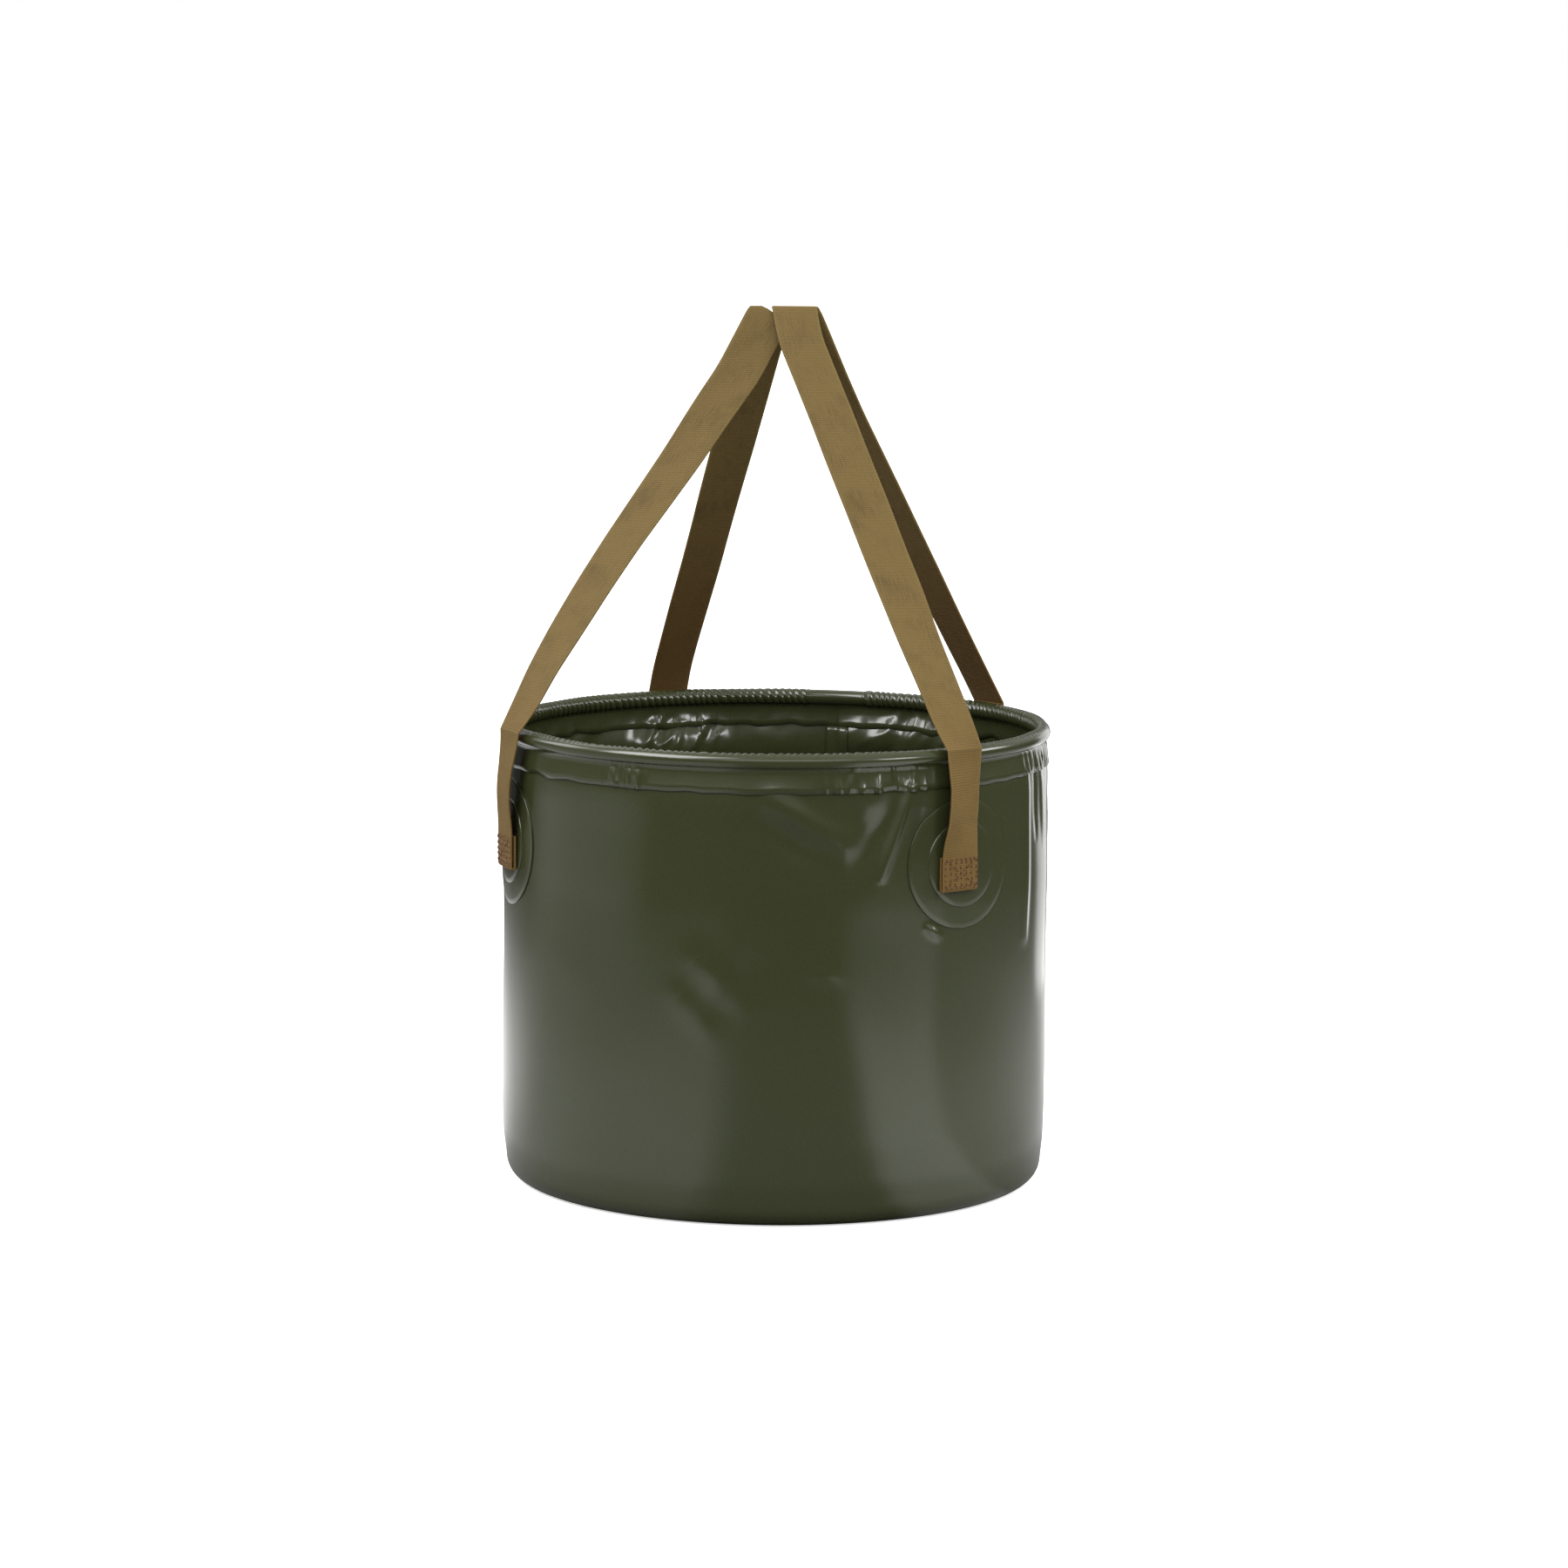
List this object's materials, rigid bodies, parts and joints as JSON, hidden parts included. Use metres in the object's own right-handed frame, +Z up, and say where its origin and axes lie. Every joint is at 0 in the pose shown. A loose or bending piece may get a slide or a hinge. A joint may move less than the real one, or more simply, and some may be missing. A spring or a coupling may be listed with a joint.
{
  "type": "folding camping water bucket",
  "caption": "Round folding water bucket of welded tarpaulin with a hooped rolled rim and webbing carry loops sewn to round wall patches.",
  "frame": {"origin": "middle of the underside, on the bucket's axis, where it stands on the ground", "axes": "+Z up along the bucket's axis; -Y is the front; the two handles are mirrored across the YZ plane"},
  "size_m": [0.3128, 0.3128, 0.497],
  "materials": {
    "tarpaulin": "olive green coated tarpaulin, smooth semi-gloss",
    "webbing": "olive-tan woven webbing, matt",
    "thread": "dense rust-tan sewing thread",
    "hoop_steel": "plain spring steel wire"
  },
  "bodies": {
    "base": {"base_panel": "tarpaulin", "wall": "tarpaulin", "side_seam_tape": "tarpaulin", "anchor_patch_front_right": "tarpaulin", "anchor_pad_front_right": "tarpaulin", "strap_end_front_right": "webbing", "strap_stitching_front_right": "thread", "anchor_patch_rear_right": "tarpaulin", "anchor_pad_rear_right": "tarpaulin", "strap_end_rear_right": "webbing", "strap_stitching_rear_right": "thread", "anchor_patch_front_left": "tarpaulin", "anchor_pad_front_left": "tarpaulin", "strap_end_front_left": "webbing", "strap_stitching_front_left": "thread", "anchor_patch_rear_left": "tarpaulin", "anchor_pad_rear_left": "tarpaulin", "strap_end_rear_left": "webbing", "strap_stitching_rear_left": "thread"},
    "rim": {"rim_sleeve": "tarpaulin", "rim_hoop": "hoop_steel", "hoop_ferrule": "hoop_steel"},
    "handle_right": {"handle_right": "webbing"},
    "handle_left": {"handle_left": "webbing"}
  },
  "joints": [
    {"name": "collapse", "type": "slide", "parent": "base", "child": "rim", "axis": [0, 0, 1], "range_m": [-0.22, 0], "deforming": ["wall", "side_seam_tape", "anchor_patch_front_right", "anchor_pad_front_right", "strap_end_front_right", "strap_stitching_front_right", "anchor_patch_rear_right", "anchor_pad_rear_right", "strap_end_rear_right", "strap_stitching_rear_right", "anchor_patch_front_left", "anchor_pad_front_left", "strap_end_front_left", "strap_stitching_front_left", "anchor_patch_rear_left", "anchor_pad_rear_left", "strap_end_rear_left", "strap_stitching_rear_left"]},
    {"name": "handle_right_swing", "type": "hinge", "parent": "rim", "child": "handle_right", "pos_m": [0.11484, 0.01542, 0.278], "axis": [-0.1331, 0.9911, 0], "range_deg": [0, 140]},
    {"name": "handle_left_swing", "type": "hinge", "parent": "rim", "child": "handle_left", "pos_m": [-0.11484, 0.01542, 0.278], "axis": [-0.1331, -0.9911, 0], "range_deg": [0, 140]}
  ]
}
